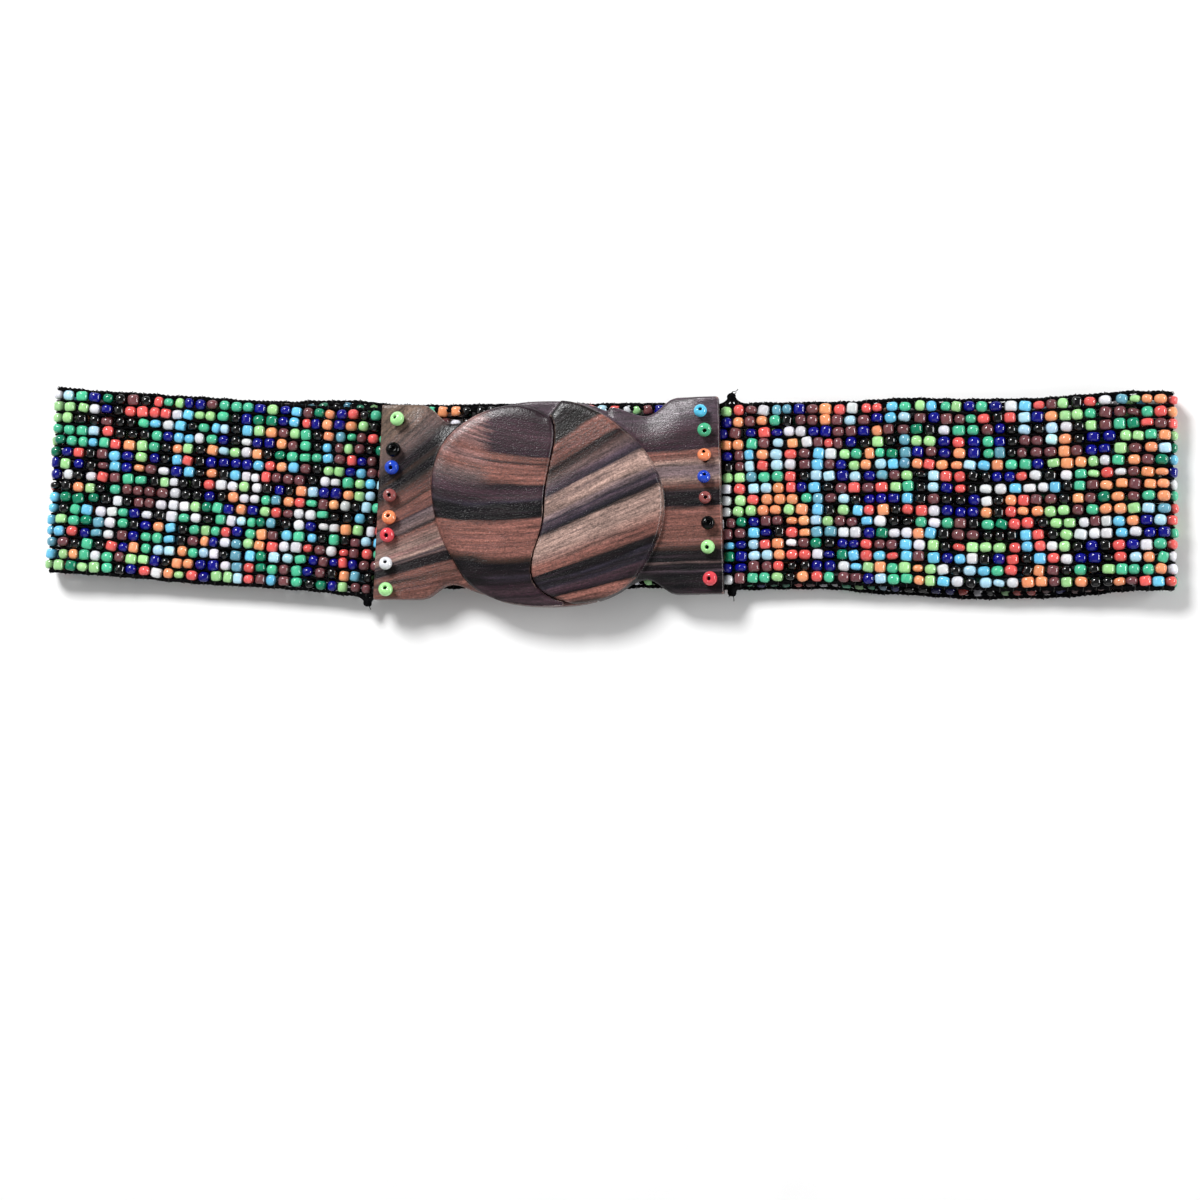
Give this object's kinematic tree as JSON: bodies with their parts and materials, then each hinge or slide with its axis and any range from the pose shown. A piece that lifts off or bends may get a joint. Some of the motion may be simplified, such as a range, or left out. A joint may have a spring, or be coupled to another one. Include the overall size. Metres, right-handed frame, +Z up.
{
  "type": "beaded belt",
  "caption": "Wide stretch belt of woven seed beads, fastened by two interlocking carved wooden hooks that make a disc, laid flat.",
  "frame": {"origin": "on the table under the middle of the belt's bounding box", "axes": "+X along the belt towards its right fold as the clasp is seen from the front, +Y towards its upper edge, +Z up, away from the table, through the clasp's face"},
  "size_m": [0.3672, 0.0746, 0.0173],
  "materials": {
    "wood": "satin, striped dark rosewood",
    "band": "opaque glossy seed beads in nine mixed colours on black cord",
    "cord": "matt black cord",
    "bead_lime": "opaque, glossy",
    "bead_black": "opaque, glossy",
    "bead_blue": "opaque, glossy",
    "bead_brown": "opaque, glossy",
    "bead_orange": "opaque, glossy",
    "bead_red": "opaque, glossy",
    "bead_white": "opaque, glossy",
    "bead_sky": "opaque, glossy",
    "bead_green": "opaque, glossy"
  },
  "bodies": {
    "root": {"bead_band": "band", "clasp_half_left": "wood", "clasp_half_right": "wood", "stopper_bead_left_1": "bead_lime", "stopper_tie_left_1": "cord", "stopper_bead_left_2": "bead_black", "stopper_tie_left_2": "cord", "stopper_bead_left_3": "bead_blue", "stopper_tie_left_3": "cord", "stopper_bead_left_4": "bead_brown", "stopper_tie_left_4": "cord", "stopper_bead_left_5": "bead_orange", "stopper_tie_left_5": "cord", "stopper_bead_left_6": "bead_red", "stopper_tie_left_6": "cord", "stopper_bead_left_7": "bead_white", "stopper_tie_left_7": "cord", "stopper_bead_left_8": "bead_lime", "stopper_tie_left_8": "cord", "stopper_bead_right_1": "bead_red", "stopper_tie_right_1": "cord", "stopper_bead_right_2": "bead_lime", "stopper_tie_right_2": "cord", "stopper_bead_right_3": "bead_black", "stopper_tie_right_3": "cord", "stopper_bead_right_4": "bead_brown", "stopper_tie_right_4": "cord", "stopper_bead_right_5": "bead_blue", "stopper_tie_right_5": "cord", "stopper_bead_right_6": "bead_orange", "stopper_tie_right_6": "cord", "stopper_bead_right_7": "bead_green", "stopper_tie_right_7": "cord", "stopper_bead_right_8": "bead_sky", "stopper_tie_right_8": "cord", "border_knot_left_lower": "cord", "border_knot_right_upper": "cord", "border_knot_right_lower": "cord"}
  },
  "joints": []
}
